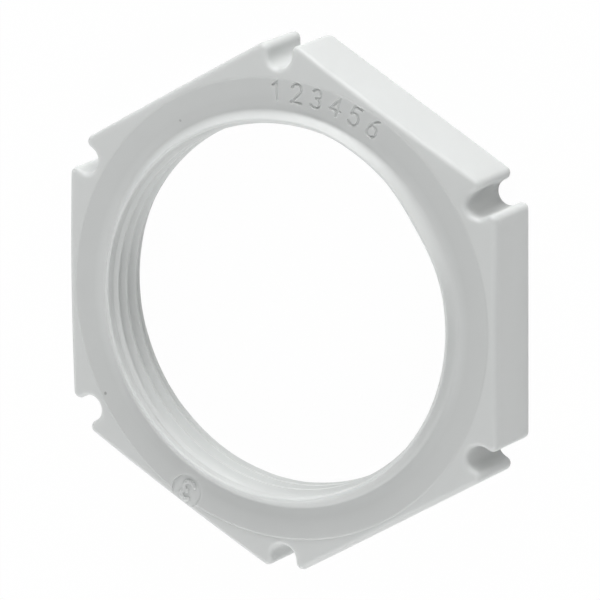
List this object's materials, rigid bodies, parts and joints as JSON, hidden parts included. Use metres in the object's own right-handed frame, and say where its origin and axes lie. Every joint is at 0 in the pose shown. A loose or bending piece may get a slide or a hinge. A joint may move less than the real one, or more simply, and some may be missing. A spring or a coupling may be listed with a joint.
{
  "type": "cable gland locknut",
  "caption": "Flat hexagonal plastic locknut with an internal thread, a raised marked ring and a groove down every corner.",
  "frame": {"origin": "middle of the plain face, on the thread's axis", "axes": "+Z along the thread's axis, from the plain face to the marked face; +X to the middle of a flat"},
  "size_m": [0.04, 0.0442, 0.007],
  "materials": {
    "polyamide": "light grey moulded polyamide, satin"
  },
  "bodies": {
    "root": {"locknut": "polyamide"}
  },
  "joints": []
}
